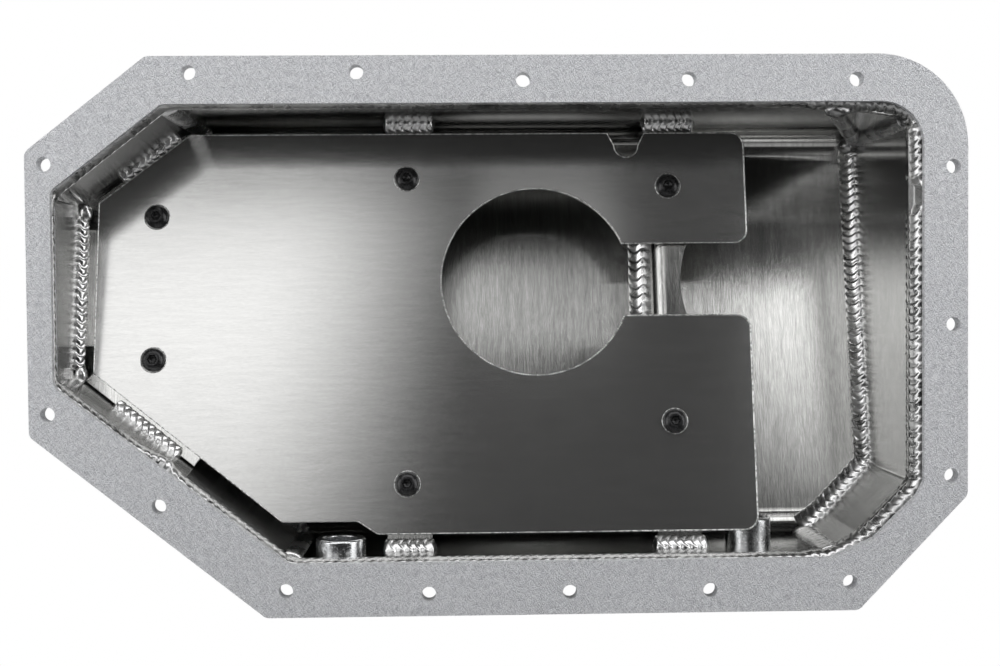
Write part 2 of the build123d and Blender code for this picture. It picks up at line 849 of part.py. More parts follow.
def make_bung_welds(others):
    fit = bung_fit
    outside = wall_front - sheet
    rings = []
    for x, depth, diameter in (return_bung_place(), sensor_bung_place()):
        place = Plane(origin=(x, outside, -depth), x_dir=(1, 0, 0), z_dir=(0, -1, 0)).location
        rings.append(ring_weld(diameter / 2 + fit, bung_weld_leg, place))
    under = drain_location() * Pos(0, 0, -sheet) * Rot(180, 0, 0)
    rings.append(ring_weld(drain_bung_diameter / 2 + fit, bung_weld_leg, under))
    beads = [ring - others for ring in rings]
    return Compound(children=[solid for bead in beads for solid in bead.solids()])


def main():
    os.makedirs("parts", exist_ok=True)
    flange = make_flange()
    shell = make_shell()
    left_wall, right_wall = make_end_walls()
    panel = make_corner_panel()
    tray = make_tray()
    rear_left_bracket = make_bracket(left_bracket_x, wall_rear, 1, rear_left_bracket_length)
    front_left_bracket = make_bracket(left_bracket_x, wall_front, -1, front_left_bracket_length)
    rear_right_bracket = make_bracket(right_bracket_x, wall_rear, 1, rear_right_bracket_length)
    front_right_bracket = make_bracket(right_bracket_x, wall_front, -1, front_right_bracket_length)
    left_ledge = make_left_ledge()
    upper_ledge = make_diagonal_ledge(upper_run, upper_ledge_span, -1, upper_ledge_width)
    lower_ledge = make_diagonal_ledge(lower_run, lower_ledge_span, 1, lower_ledge_width)
    baffle = make_baffle()
    walls = (shell, left_wall, right_wall, panel)
    return_bung = make_bung(*return_bung_place(), return_bung_bore, return_bung_inside, return_bung_outside)
    sensor_bung = make_bung(*sensor_bung_place(), sensor_bung_bore, sensor_bung_inside, sensor_bung_outside)
    flange_weld = make_flange_weld(walls)
    outer_weld = make_outer_flange_weld(walls)
    seam_welds = make_seam_welds()
    right_weld = make_right_end_weld((panel, return_bung, sensor_bung))
    corner_weld = make_corner_weld((panel, right_weld))
    left_weld = make_left_end_weld(())
    baffle_weld = make_baffle_weld((baffle,))
    support_welds = make_support_welds((baffle, left_weld, corner_weld, right_weld))
    nodes = {
        "mounting_flange": flange,
        "main_shell": shell,
        "left_end_wall": left_wall,
        "right_end_wall": right_wall,
        "corner_panel": panel,
        "windage_tray": tray,
        "rear_left_bracket": rear_left_bracket,
        "front_left_bracket": front_left_bracket,
        "rear_right_bracket": rear_right_bracket,
        "front_right_bracket": front_right_bracket,
        "left_ledge": left_ledge,
        "upper_ledge": upper_ledge,
        "lower_ledge": lower_ledge,
        "sump_baffle": baffle,
        "tray_screws": make_screws(),
        "tray_nuts": make_nuts(),
        "return_bung": return_bung,
        "sensor_bung": sensor_bung,
        "drain_bung": make_drain_bung(),
        "drain_washer": make_drain_washer(),
        "drain_plug": make_drain_plug(),
        "flange_weld": flange_weld,
        "outer_flange_weld": outer_weld,
        "right_end_weld": right_weld,
        "corner_weld": corner_weld,
        "left_end_weld": left_weld,
        "baffle_weld": baffle_weld,
        "support_welds": support_welds,
        "outer_seam_welds": seam_welds,
        "bung_welds": make_bung_welds([outer_weld, *seam_welds.solids()]),
    }
    for name, shape in nodes.items():
        export_step(Compound(shape.solids()), f"parts/{name}.step")


if __name__ == "__main__":
    main()
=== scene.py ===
import math
import random

import bpy
from mathutils import Matrix, Vector, noise
from mathutils.bvhtree import BVHTree


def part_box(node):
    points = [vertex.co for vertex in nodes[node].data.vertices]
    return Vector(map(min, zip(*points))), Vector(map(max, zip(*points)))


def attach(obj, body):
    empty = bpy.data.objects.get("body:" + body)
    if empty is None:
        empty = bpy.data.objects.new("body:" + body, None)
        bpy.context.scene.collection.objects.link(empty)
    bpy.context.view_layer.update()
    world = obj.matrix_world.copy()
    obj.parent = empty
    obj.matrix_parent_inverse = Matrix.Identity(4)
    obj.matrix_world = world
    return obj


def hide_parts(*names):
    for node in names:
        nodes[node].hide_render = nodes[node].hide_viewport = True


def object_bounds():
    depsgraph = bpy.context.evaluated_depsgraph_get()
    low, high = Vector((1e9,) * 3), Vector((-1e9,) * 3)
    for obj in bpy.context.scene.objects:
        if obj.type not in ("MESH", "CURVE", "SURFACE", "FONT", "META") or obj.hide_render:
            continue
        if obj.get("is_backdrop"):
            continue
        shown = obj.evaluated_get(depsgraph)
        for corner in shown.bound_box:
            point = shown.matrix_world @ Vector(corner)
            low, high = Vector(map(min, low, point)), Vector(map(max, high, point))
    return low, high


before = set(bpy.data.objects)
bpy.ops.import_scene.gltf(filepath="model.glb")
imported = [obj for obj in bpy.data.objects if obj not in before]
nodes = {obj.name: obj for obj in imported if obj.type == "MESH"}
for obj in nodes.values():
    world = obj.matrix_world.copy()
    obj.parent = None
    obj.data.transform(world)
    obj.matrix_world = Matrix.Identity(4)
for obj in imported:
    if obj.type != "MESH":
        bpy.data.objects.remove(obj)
size_lines = [f"cad {[round(v, 5) for v in corner]}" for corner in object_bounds()]
random.seed(7)
MM = 0.001

# Plan of the walls' inner faces, in millimetres, in the CAD frame
FRONT_Y = -108.0
REAR_Y = 111.1
FRONT_LEFT_JOINT = (-103.1, FRONT_Y)
LEFT_LOW_FOLD = (-216.7, -19.6)
LEFT_HIGH_FOLD = (-216.7, 67.4)
REAR_LEFT_JOINT = (-160.2, REAR_Y)
PANEL_END = (200.8, 105.5)
RIGHT_FOLD = (200.8, -73.0)
RIGHT_LOW_FOLD = (175.3, -98.5)
FRONT_RIGHT_JOINT = (161.7, FRONT_Y)

# The tray: how high its top face lies at Y = 0, its thickness and tilt, two axes in its plane, and
# its pickup hole in plan
TRAY_LEVEL = -43.0
TRAY_THICKNESS = 3.0
TILT = math.radians(10.0)
TRAY_NORMAL = Vector((0, math.sin(TILT), math.cos(TILT)))
TRAY_U = Vector((1, 0, 0))
TRAY_V = TRAY_NORMAL.cross(TRAY_U)
PICKUP_HOLE = (19.3, 27.3)
PICKUP_RADIUS = 49.2

# Points inside the pan that the beads rise towards
LEFT_CENTRE = Vector((-120, 20, -30))
RIGHT_CENTRE = Vector((120, 20, -30))
LOW_CENTRE = Vector((0, 0, -50))
TOP_CENTRE = Vector((0, 0, 0))

# The bead under the flange is bold to the right of an X, runs out in a gap there between two
# values of Y, and swells where weld metal has spilled
BOLD_FROM_X = 150.0
GAP_FROM_X = 190.0
GAP_Y = (60.0, 74.0)
SPILL_PLACE = Vector((-166.0, -62.0))
SPILL_REACH = 8.0

# Beads: the length that rounds an open end, how far one sinks into the floor, the height where the
# upright ones start, and the height and reach of the searches down to the floor
CAP_LENGTH = 2.4
SINK = Vector((0, 0, 0.2))
JOINT_TOP = -7.5
SEARCH_FROM = Vector((0, 0, -20))
SEARCH_REACH = 120.0
DOWN = Vector((0, 0, -1))

# Lumps of weld metal: where each one is and its three radii
CORNER_LUMPS = (((166.5, 110.0, -10.0), (6.5, 4.2, 4.0)), ((196.5, 102.0, -99.5), (5.2, 4.4, 5.0)))
LEDGE_LUMPS = (((-213.6, 64.0, -54.5), (3.2, 4.6, 3.0)), ((-213.4, -19.0, -40.5), (3.2, 4.4, 2.8)))

# Screws: the sides of the round pieces, the least distance between two screws, the ring round a
# head, and the radius and height of each row of the head and of its hex socket
SCREW_SIDES = 48
SCREW_SPACING = 15.0
RING_RADIUS = 6.5
RING_THICKNESS = 0.28
RING_HEIGHT = 0.05
HEAD = ((6.04, 0.0), (6.04, 0.9), (5.75, 1.7), (5.0, 2.5), (4.1, 3.1), (3.3, 3.42), (2.95, 3.46))
SOCKET = ((2.32, 3.30), (2.28, 1.25), (0.01, 1.22))

# Burr along the tray's edge: its radius, which is wider at the right end and at the lower right,
# and the radii of the teeth round the pickup hole
BURR = 0.26
BURR_WIDE = 0.42
RIGHT_END_X = 128.0
LOWER_RIGHT = (60.0, 20.0)
TOOTH_HIGH = 0.50
TOOTH_LOW = 0.06
TOOTH_REACH = 1.6


# Materials

def new_material(name):
    """An empty material, its node tree and its shader, which is joined to the output."""
    material = bpy.data.materials.new(name)
    material.use_nodes = True
    tree = material.node_tree
    tree.nodes.clear()
    output = tree.nodes.new("ShaderNodeOutputMaterial")
    shader = tree.nodes.new("ShaderNodeBsdfPrincipled")
    tree.links.new(shader.outputs[0], output.inputs[0])
    return material, tree, shader


def object_coordinates(tree):
    return tree.nodes.new("ShaderNodeTexCoord").outputs["Object"]


def noise_at(tree, coordinates, scale, detail=3.0, rough=0.6, turn=0.0):
    """Noise stretched by a scale for each axis, in cycles per metre, after a turn about Z in degrees."""
    if turn:
        turned = tree.nodes.new("ShaderNodeMapping")
        turned.inputs["Rotation"].default_value = (0, 0, math.radians(turn))
        tree.links.new(coordinates, turned.inputs["Vector"])
        coordinates = turned.outputs[0]
    mapping = tree.nodes.new("ShaderNodeMapping")
    mapping.inputs["Scale"].default_value = scale
    tree.links.new(coordinates, mapping.inputs["Vector"])
    texture = tree.nodes.new("ShaderNodeTexNoise")
    texture.inputs["Scale"].default_value = 1.0
    texture.inputs["Detail"].default_value = detail
    texture.inputs["Roughness"].default_value = rough
    tree.links.new(mapping.outputs[0], texture.inputs["Vector"])
    return texture.outputs["Fac"]


def remap(tree, value, low, high, start=0.3, end=0.7):
    """The value taken from the range of start to end onto the range of low to high."""
    node = tree.nodes.new("ShaderNodeMapRange")
    node.inputs["From Min"].default_value = start
    node.inputs["From Max"].default_value = end
    node.inputs["To Min"].default_value = low
    node.inputs["To Max"].default_value = high
    tree.links.new(value, node.inputs["Value"])
    return node.outputs[0]


def combine(tree, first, second, operation="ADD"):
    """Sum, or another operation, of a socket with a number or a second socket."""
    node = tree.nodes.new("ShaderNodeMath")
    node.operation = operation
    tree.links.new(first, node.inputs[0])
    if isinstance(second, float):
        node.inputs[1].default_value = second
    else:
        tree.links.new(second, node.inputs[1])
    return node.outputs[0]


def tint(tree, value, dark, light):
    """Colour between two greys or tints, by a value from 0 to 1."""
    ramp = tree.nodes.new("ShaderNodeValToRGB")
    ramp.color_ramp.elements[0].color = (*dark, 1)
    ramp.color_ramp.elements[1].color = (*light, 1)
    tree.links.new(value, ramp.inputs[0])
    return ramp.outputs[0]


def bump(tree, shader, height, strength, distance):
    node = tree.nodes.new("ShaderNodeBump")
    node.inputs["Strength"].default_value = strength
    node.inputs["Distance"].default_value = distance
    tree.links.new(height, node.inputs["Height"])
    tree.links.new(node.outputs[0], shader.inputs["Normal"])
    return node


def grained_metal(name, fine, coarse, dark, light, rough, blur_axis, anisotropy, strength,
                  lean=0.0, metallic=1.0, spread=(0.3, 0.7), inner_wall_shade=1.0):
    """Sheet with a rolled or brushed grain, fine and coarse, in cycles per metre along X, Y and Z.

    The spread is the part of the fine noise that the colours cover. The lean tips the shading
    towards +Y, as a welded floor that has bowed a little. The last value darkens the inner faces
    of the long walls as painted shade.
    """
    material, tree, shader = new_material(name)
    coordinates = object_coordinates(tree)
    fine_noise = noise_at(tree, coordinates, fine, 4.0, 0.7)
    coarse_noise = noise_at(tree, coordinates, coarse, 3.0, 0.5)
    mixed = combine(tree, remap(tree, fine_noise, 0.0, 0.6, *spread), remap(tree, coarse_noise, 0.0, 0.4))

    # The Y of the normal times the Y of the place is about -0.11 m on those inner faces and above
    # -0.03 m on the floor
    normal = tree.nodes.new("ShaderNodeSeparateXYZ")
    place = tree.nodes.new("ShaderNodeSeparateXYZ")
    tree.links.new(tree.nodes.new("ShaderNodeTexCoord").outputs["Normal"], normal.inputs[0])
    tree.links.new(coordinates, place.inputs[0])
    facing_in = combine(tree, normal.outputs[1], place.outputs[1], "MULTIPLY")
    # Painted shade: the base colour is scaled down on the inner faces of the long walls
    shade = tree.nodes.new("ShaderNodeVectorMath")
    shade.operation = "SCALE"
    tree.links.new(tint(tree, mixed, dark, light), shade.inputs[0])
    tree.links.new(remap(tree, facing_in, inner_wall_shade, 1.0, -0.09, -0.03), shade.inputs["Scale"])
    tree.links.new(shade.outputs[0], shader.inputs["Base Color"])

    tree.links.new(remap(tree, mixed, *rough, 0.0, 1.0), shader.inputs["Roughness"])
    shader.inputs["Metallic"].default_value = metallic
    shader.inputs["Anisotropic"].default_value = anisotropy
    tangent = tree.nodes.new("ShaderNodeCombineXYZ")
    for index, value in enumerate(blur_axis):
        tangent.inputs[index].default_value = value
    tree.links.new(tangent.outputs[0], shader.inputs["Tangent"])
    grain = bump(tree, shader, fine_noise, strength, 0.00004)
    leaning = tree.nodes.new("ShaderNodeVectorMath")
    leaning.inputs[1].default_value = (0, lean, 0)
    tree.links.new(tree.nodes.new("ShaderNodeNewGeometry").outputs["Normal"], leaning.inputs[0])
    tree.links.new(leaning.outputs[0], grain.inputs["Normal"])
    return material


def sanded_metal(name):
    """Flange plate, sanded in short crossing strokes."""
    material, tree, shader = new_material(name)
    coordinates = object_coordinates(tree)
    warp = tree.nodes.new("ShaderNodeTexNoise")
    warp.inputs["Scale"].default_value = 120.0
    tree.links.new(coordinates, warp.inputs["Vector"])
    mixer = tree.nodes.new("ShaderNodeVectorMath")
    mixer.operation = "MULTIPLY_ADD"
    mixer.inputs[1].default_value = (0.006, 0.006, 0.0)
    tree.links.new(warp.outputs["Color"], mixer.inputs[0])
    tree.links.new(coordinates, mixer.inputs[2])
    strokes = noise_at(tree, mixer.outputs[0], (260, 1400, 300), 3.0, 0.6, 50.0)
    cross = noise_at(tree, mixer.outputs[0], (260, 1300, 300), 3.0, 0.6, -40.0)
    speckle = noise_at(tree, coordinates, (1900, 1900, 1900), 2.0, 0.7)
    strokes = remap(tree, strokes, 0.0, 0.32, 0.36, 0.60)
    cross = remap(tree, cross, 0.0, 0.28, 0.36, 0.60)
    speckle = remap(tree, speckle, 0.0, 0.46, 0.42, 0.56)
    mixed = combine(tree, combine(tree, strokes, cross), speckle)
    colour = tint(tree, mixed, (0.37, 0.375, 0.408), (0.97, 0.98, 1.0))
    tree.links.new(colour, shader.inputs["Base Color"])
    tree.links.new(remap(tree, mixed, 0.38, 0.50, 0.0, 1.0), shader.inputs["Roughness"])
    shader.inputs["Metallic"].default_value = 0.7
    bump(tree, shader, mixed, 1.0, 0.00028)
    return material


def cut_metal(name):
    """Cut edges: upright striations from the cutter, and small nicks a set distance apart."""
    material, tree, shader = new_material(name)
    coordinates = object_coordinates(tree)
    striations = noise_at(tree, coordinates, (900, 900, 40), 2.0, 0.5)
    place = tree.nodes.new("ShaderNodeSeparateXYZ")
    tree.links.new(coordinates, place.inputs[0])
    shade = remap(tree, striations, 0.15, 1.0, 0.40, 0.56)
    for axis, distance in ((0, 0.0218), (1, 0.0186)):
        fold = tree.nodes.new("ShaderNodeMath")
        fold.operation = "PINGPONG"
        fold.inputs[1].default_value = distance / 2
        tree.links.new(place.outputs[axis], fold.inputs[0])
        nick = remap(tree, fold.outputs[0], 0.2, 1.0, 0.0003, 0.0005)
        shade = combine(tree, shade, nick, "MULTIPLY")
    tree.links.new(tint(tree, shade, (0.20, 0.20, 0.20), (0.97, 0.97, 0.96)), shader.inputs["Base Color"])
    tree.links.new(remap(tree, striations, 0.30, 0.50), shader.inputs["Roughness"])
    shader.inputs["Metallic"].default_value = 1.0
    bump(tree, shader, striations, 0.6, 0.00015)
    return material


def weld_metal(name, dark=0.48, light=0.90, bands=None, ripple_scale=0.0):
    """Weld metal between two greys, with the ripples as a bump where bands names their direction."""
    material, tree, shader = new_material(name)
    coordinates = object_coordinates(tree)
    fine = noise_at(tree, coordinates, (900, 900, 900), 4.0, 0.7)
    broad = noise_at(tree, coordinates, (90, 90, 90), 3.0, 0.5)
    colour = tint(tree, remap(tree, broad, 0.2, 1.0), (dark, dark, dark), (light, light, light))
    tree.links.new(colour, shader.inputs["Base Color"])
    tree.links.new(remap(tree, broad, 0.18, 0.36), shader.inputs["Roughness"])
    shader.inputs["Metallic"].default_value = 1.0
    grain = bump(tree, shader, fine, 0.1, 0.00005)
    if bands:
        wave = tree.nodes.new("ShaderNodeTexWave")
        wave.bands_direction = bands
        wave.wave_profile = "SAW"
        wave.inputs["Scale"].default_value = ripple_scale
        wave.inputs["Distortion"].default_value = 1.6
        wave.inputs["Detail Scale"].default_value = 1.5
        tree.links.new(coordinates, wave.inputs["Vector"])
        ripples = tree.nodes.new("ShaderNodeBump")
        ripples.inputs["Strength"].default_value = 0.8
        ripples.inputs["Distance"].default_value = 0.0007
        tree.links.new(wave.outputs["Fac"], ripples.inputs["Height"])
        tree.links.new(ripples.outputs[0], grain.inputs["Normal"])
    return material


def plain_metal(name, dark, light, rough, scale=700.0, metallic=1.0):
    """Metal with a fine even grain, its scale in cycles per metre."""
    material, tree, shader = new_material(name)
    coordinates = object_coordinates(tree)
    fine = noise_at(tree, coordinates, (scale, scale, scale), 4.0, 0.7)
    tree.links.new(tint(tree, remap(tree, fine, 0.0, 1.0), dark, light), shader.inputs["Base Color"])
    tree.links.new(remap(tree, fine, *rough), shader.inputs["Roughness"])
    shader.inputs["Metallic"].default_value = metallic
    bump(tree, shader, fine, 0.2, 0.00004)
    return material


FLANGE = sanded_metal("flange_sanded")
# The inner faces of the long walls get 0.42 of the sheet's colour, as painted shade
SHEET = grained_metal(
    "sheet_grain_y", fine=(2400, 140, 140), coarse=(400, 24, 24), dark=(0.50, 0.50, 0.487),
    light=(0.78, 0.78, 0.764), rough=(0.13, 0.155), blur_axis=(1, 0, 0), anisotropy=1.0,
    strength=0.75, lean=0.033, spread=(0.40, 0.60), inner_wall_shade=0.42
)
# The baffle is the shell's sheet with darker greys, as painted shade that dims the highlight on its bend
BAFFLE_SHADED = grained_metal(
    "baffle_grain_painted_shade", fine=(2400, 140, 140), coarse=(400, 24, 24), dark=(0.28, 0.28, 0.272),
    light=(0.46, 0.46, 0.45), rough=(0.15, 0.18), blur_axis=(1, 0, 0), anisotropy=0.8,
    strength=0.5, spread=(0.40, 0.60)
)
WALL = grained_metal(
    "sheet_grain_z", fine=(160, 160, 1300), coarse=(24, 40, 400), dark=(0.61, 0.61, 0.603),
    light=(0.81, 0.81, 0.802), rough=(0.16, 0.20), blur_axis=(0, 0, 1), anisotropy=0.8,
    strength=0.06, spread=(0.38, 0.62)
)
TRAY = grained_metal(
    "tray_grain_x", fine=(420, 1500, 1500), coarse=(60, 500, 500), dark=(0.58, 0.579, 0.570),
    light=(0.73, 0.729, 0.718), rough=(0.15, 0.18), blur_axis=(0, 1, 0), anisotropy=0.7,
    strength=0.02, metallic=0.93
)
EDGE = cut_metal("cut_edge")
WELD = weld_metal("weld_bright")
WELD_GREY = weld_metal("weld_grey", 0.27, 0.70)
WELD_DARK = weld_metal("weld_dark", 0.10, 0.45)
WELD_BANDED = weld_metal("weld_banded", 0.22, 0.75, "Z", 87.0)
WELD_OUTSIDE = weld_metal("weld_outside", 0.50, 0.92, "DIAGONAL", 150.0)
BUNG = plain_metal("turned", (0.55, 0.56, 0.57), (0.85, 0.86, 0.87), (0.14, 0.30), 900.0)
SCREW = plain_metal("black_oxide", (0.008, 0.008, 0.009), (0.035, 0.035, 0.036), (0.18, 0.32), 1200.0, 0.4)
ZINC = plain_metal("zinc", (0.42, 0.42, 0.40), (0.66, 0.66, 0.63), (0.25, 0.45))
WASHER = plain_metal("washer", (0.5, 0.51, 0.52), (0.8, 0.8, 0.81), (0.25, 0.45))

# The beads that aren't named here are bright
CAD_MATERIALS = {
    "mounting_flange": FLANGE,
    "main_shell": SHEET,
    "left_end_wall": WALL,
    "right_end_wall": WALL,
    "corner_panel": WALL,
    "windage_tray": TRAY,
    "rear_left_bracket": SHEET,
    "front_left_bracket": SHEET,
    "rear_right_bracket": SHEET,
    "front_right_bracket": SHEET,
    "left_ledge": SHEET,
    "upper_ledge": SHEET,
    "lower_ledge": SHEET,
    "sump_baffle": BAFFLE_SHADED,
    "tray_screws": SCREW,
    "tray_nuts": ZINC,
    "return_bung": BUNG,
    "sensor_bung": BUNG,
    "drain_bung": BUNG,
    "drain_washer": WASHER,
    "drain_plug": ZINC,
    "corner_weld": WELD_BANDED,
    "outer_flange_weld": WELD_OUTSIDE,
    "outer_seam_welds": WELD_OUTSIDE,
    "bung_welds": WELD_OUTSIDE,
}
for name, node in nodes.items():
    node.data.materials.clear()
    node.data.materials.append(CAD_MATERIALS.get(name, WELD))


def soften(name, width, edge_material=None):
    """Small rounds on a CAD node's sharp edges, as modifiers. The width is in millimetres."""
    node = nodes[name]
    weld = node.modifiers.new("join", "WELD")
    weld.merge_threshold = 0.00001
    round_off = node.modifiers.new("round", "BEVEL")
    round_off.width = width * MM
    round_off.segments = 2
    round_off.limit_method = "ANGLE"
    round_off.angle_limit = math.radians(35)
    even = node.modifiers.new("even", "WEIGHTED_NORMAL")
    even.mode = "FACE_AREA"
    even.weight = 100
    if edge_material:
        node.data.materials.append(edge_material)
        round_off.material = 1


soften("mounting_flange", 0.5, EDGE)
soften("windage_tray", 0.45, EDGE)
soften("sump_baffle", 0.4, EDGE)
soften("tray_screws", 0.25)
soften("return_bung", 0.3)
soften("sensor_bung", 0.3)
for name in ("left_ledge", "upper_ledge", "lower_ledge", "front_left_bracket", "rear_left_bracket"):
    soften(name, 0.3, EDGE)


# Paths, walls and borders that the pieces follow, in millimetres

def tray_height(y, below=0.0):
    """Height of the tray's top face, or of a plane some way below it."""
    return TRAY_LEVEL - below / math.cos(TILT) - math.tan(TILT) * y


def wall_tree():
    """The inner sheets as one search tree, in metres."""
    points, faces = [], []
    for name in ("main_shell", "left_end_wall", "right_end_wall", "corner_panel"):
        start = len(points)
        points += [v.co.copy() for v in nodes[name].data.vertices]
        faces += [[start + i for i in p.vertices] for p in nodes[name].data.polygons]
    return BVHTree.FromPolygons(points, faces)


walls = wall_tree()


def hit(origin, direction, reach):
    """The first wall point from an origin along a direction, or None past the reach."""
    found = walls.ray_cast(Vector(origin) * MM, Vector(direction).normalized(), reach * MM)[0]
    return found / MM if found else None


def left_of(along):
    return Vector((-along.y, along.x, 0))


def resample(path, step, closed=False):
    """Points at an even step along a path, and the step that came out."""
    path = [Vector(p) for p in path]
    if closed:
        path.append(path[0])
    total = sum((b - a).length for a, b in zip(path, path[1:]))
    count = max(2, round(total / step))
    spots, at, walked = [], 0, 0.0
    for i in range(count if closed else count + 1):
        goal = total * i / count
        while at < len(path) - 2 and walked + (path[at + 1] - path[at]).length < goal:
            walked += (path[at + 1] - path[at]).length
            at += 1
        span = (path[at + 1] - path[at]).length
        share = (goal - walked) / span if span else 0.0
        spots.append(path[at].lerp(path[at + 1], min(1.0, share)))
    return spots, total / count


def smooth(values, reach, closed):
    """Running mean of vectors or numbers."""
    size = len(values)
    result = []
    for i in range(size):
        near = range(i - reach, i + reach + 1)
        chosen = [values[j % size] for j in near] if closed else [values[j] for j in near if 0 <= j < size]
        total = chosen[0].copy() if isinstance(chosen[0], Vector) else chosen[0]
        for value in chosen[1:]:
            total = total + value
        result.append(total / len(chosen))
    return result


def border_links(mesh, polygons, axes):
    """The neighbours of each point on the borders of some polygons, by the first two or three axes."""
    seen = {}
    for polygon in polygons:
        ring = [tuple(round(v / MM, 3) for v in mesh.vertices[i].co[:axes]) for i in polygon.vertices]
        for a, b in zip(ring, ring[1:] + ring[:1]):
            pair = frozenset((a, b))
            seen[pair] = seen.get(pair, 0) + 1
    links = {}
    for pair, times in seen.items():
        if times == 1 and len(pair) == 2:
            a, b = pair
            links.setdefault(a, []).append(b)
            links.setdefault(b, []).append(a)
    return links


def walk_round(links, start):
    """The border through a point, in order."""
    loop, last = [start], None
    while True:
        options = [p for p in links[loop[-1]] if p != last]
        last = loop[-1]
        if not options or options[0] == start:
            return loop
        loop.append(options[0])


def flange_opening():
    """The inner border of the flange's top face, anticlockwise. Only the outer border is longer."""
    mesh = nodes["mounting_flange"].data
    top = [p for p in mesh.polygons if p.normal.z > 0.99 and abs(p.center.z / MM) < 0.05]
    links = border_links(mesh, top, 2)
    loops = []
    while links:
        loops.append(walk_round(links, next(iter(links))))
        for point in loops[-1]:
            links.pop(point, None)
    loops.sort(key=lambda points: max(p[0] for p in points) - min(p[0] for p in points))
    loop = [Vector((x, y, 0.0)) for x, y in loops[-2]]
    area = sum(a.x * b.y - b.x * a.y for a, b in zip(loop, loop[1:] + loop[:1]))
    return loop if area > 0 else loop[::-1]


def tray_rim():
    """The border of the tray's top face, with the pickup hole and the slot that opens it."""
    mesh = nodes["windage_tray"].data
    level = Vector((0, 0, TRAY_LEVEL)).dot(TRAY_NORMAL)
    top = [
        p for p in mesh.polygons
        if p.normal.dot(TRAY_NORMAL) > 0.999 and abs(p.center.dot(TRAY_NORMAL) / MM - level) < 0.05
    ]
    links = border_links(mesh, top, 3)
    return [Vector(p) for p in walk_round(links, min(links, key=lambda p: p[0]))]


# Shapes of the weld metal and the small pieces, as vertices and faces

def ripple(phase):
    """Height of a weld ripple over its cycle: a slow rise and a short fall."""
    share = phase % 1.0
    if share < 0.84:
        return math.sin(share / 0.84 * math.pi / 2)
    return math.cos((share - 0.84) / 0.16 * math.pi / 2)


def bead(low, high, step, pitch, heights, depths, closed=False, across=12, lag=0.9, wobble=0.35):
    """Rippled bead between two rails.

    The rails, the bead's heights and its ripples' depths are lists with an entry for each row.
    The ripples lag behind towards the rails, and the borders wobble. Open ends are rounded off.
    """
    count = len(low)
    verts, faces = [], []
    cap = 0 if closed else max(2, round(CAP_LENGTH / step))
    phase = random.random()
    shift = random.random() * 90.0
    for i in range(count):
        ahead = (i + 1) % count if closed else min(i + 1, count - 1)
        back = (i - 1) % count if closed else max(i - 1, 0)
        along = ((low[ahead] + high[ahead]) - (low[back] + high[back])).normalized()
        width = high[i] - low[i]
        lift = width.cross(along)
        lift.normalize()
        place = Vector((i * step * 0.11 + shift, 0.0, 0.0))
        phase += step / pitch * (1.0 + 0.5 * noise.noise(place * 1.7))
        swell = 1.0 + 0.25 * noise.noise(place * 2.3 + Vector((0, 5, 0)))
        edge_low = wobble * noise.noise(place * 4.1 + Vector((0, 11, 0)))
        edge_high = wobble * noise.noise(place * 4.3 + Vector((0, 23, 0)))
        start = low[i] - width.normalized() * edge_low
        end = high[i] + width.normalized() * edge_high
        for j in range(across + 1):
            t = j / across
            round_off = math.sqrt(max(0.0, 1.0 - (2 * t - 1) ** 2))
            wave = ripple(phase - lag * (2 * t - 1) ** 2)
            rise = heights[i] * swell * round_off + depths[i] * wave * round_off ** 0.6
            verts.append(start.lerp(end, t) + lift * rise)
        from_end = min(i, count - 1 - i)
        if from_end < cap:
            corner = (low[i] + high[i]) / 2 - lift * width.length / 2
            share = math.sin(from_end / cap * math.pi / 2)
            verts[-across - 1:] = [corner.lerp(v, share) for v in verts[-across - 1:]]
    for i in range(count if closed else count - 1):
        for j in range(across):
            a = i * (across + 1) + j
            b = ((i + 1) % count) * (across + 1) + j
            faces.append((a, a + 1, b + 1, b))
    return verts, faces


def open_bead(rails, towards, pitch, height, depth, across=12, lag=0.9, wobble=0.35):
    """Bead with two ends that rises towards a point inside the pan. The rails come with their step."""
    low, high, step = rails
    count = len(low)
    middle = count // 2
    along = (low[min(middle + 1, count - 1)] - low[middle - 1]).normalized()
    lift = (high[middle] - low[middle]).cross(along)
    if lift.dot(towards - low[middle]) <= 0:
        low, high = high, low
    return bead(low, high, step, pitch, [height] * count, [depth] * count, False, across, lag, wobble)


def flange_weld():
    """Bead from the flange's inner edge down to the walls, all the way round."""
    top_drop, plain_drop, bold_drop, tuck = 3.0, 9.8, 12.5, 0.3
    loop, step = resample(flange_opening(), 0.32, True)
    loop = smooth(loop, 5, True)
    count = len(loop)
    high, low, heights, depths = [], [], [], []
    for i, edge in enumerate(loop):
        bold = edge.x > BOLD_FROM_X
        drop = Vector((0, 0, -bold_drop if bold else -plain_drop))
        inward = left_of((loop[(i + 4) % count] - loop[i - 4]).normalized())
        spot = hit(edge + inward * 22 + drop, -inward, 40)
        if spot is None:
            spot = edge + inward * 1.5 + drop
        high.append(edge - inward * tuck + Vector((0, 0, -top_drop)))
        low.append(spot - inward * tuck)
        spill = math.exp(-((edge.xy - SPILL_PLACE).length / SPILL_REACH) ** 2)
        if edge.x > GAP_FROM_X and GAP_Y[0] < edge.y < GAP_Y[1]:
            height, depth = 0.2, 0.03
        elif bold:
            height, depth = 1.6, 0.60
        else:
            height, depth = 0.7 + 2.6 * spill, 0.26 + 0.5 * spill
        heights.append(height)
        depths.append(depth)
    low = smooth(low, 12, True)
    middle = count // 2
    lift = (low[middle] - high[middle]).cross(loop[middle + 1] - loop[middle])
    if lift.dot(-loop[middle]) < 0:
        low, high = high, low
    heights, depths = smooth(heights, 8, True), smooth(depths, 8, True)
    return bead(high, low, step, 4.4, heights, depths, closed=True, wobble=0.5)


